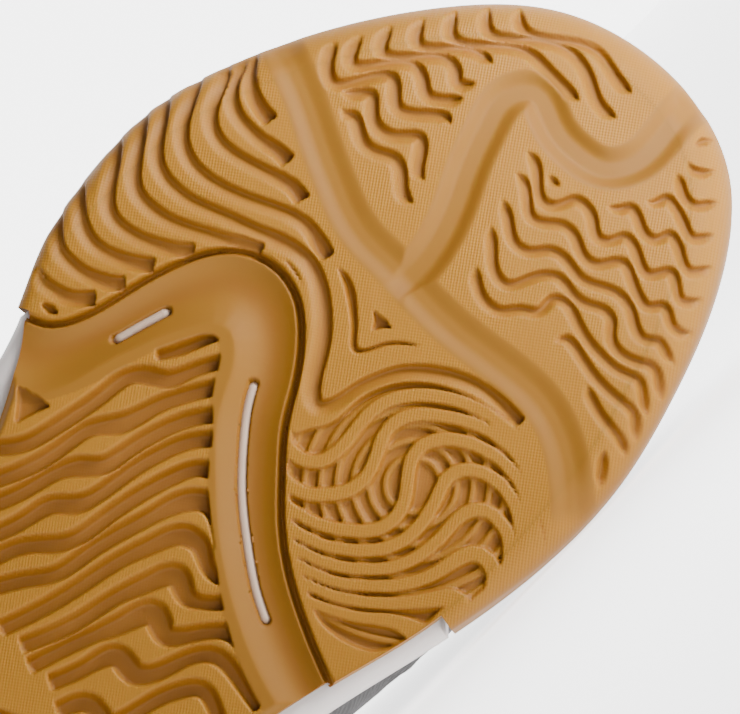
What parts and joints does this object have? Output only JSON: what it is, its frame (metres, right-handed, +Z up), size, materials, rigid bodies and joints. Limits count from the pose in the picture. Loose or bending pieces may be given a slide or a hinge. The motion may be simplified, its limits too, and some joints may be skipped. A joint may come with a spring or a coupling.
{
  "type": "indoor court shoe",
  "caption": "Low-cut indoor court shoe for the right foot lying on its side, with a wavy gum rubber sole, foam midsole and hollow fabric upper.",
  "frame": {"origin": "centre of the bounding box on the floor the shoe lies on", "axes": "+X from heel to toe, +Y from the sole to the collar, +Z up, with the lateral side on top"},
  "size_m": [0.2862, 0.1148, 0.112],
  "materials": {
    "gum_rubber": "translucent gum rubber, satin",
    "white_foam": "moulded foam, matt",
    "charcoal_synthetic": "coated synthetic with a ribbed weave, satin",
    "black_synthetic": "synthetic leather, satin",
    "grey_lining": "brushed lining, matt",
    "dark_lace": "flat woven lace, matt"
  },
  "bodies": {
    "root": {"outsole_forefoot": "gum_rubber", "outsole_rear": "gum_rubber", "midsole": "white_foam", "insole": "grey_lining", "upper": "charcoal_synthetic", "heel_counter": "black_synthetic", "eyestay": "black_synthetic", "tongue": "grey_lining", "lace": "dark_lace"}
  },
  "joints": []
}
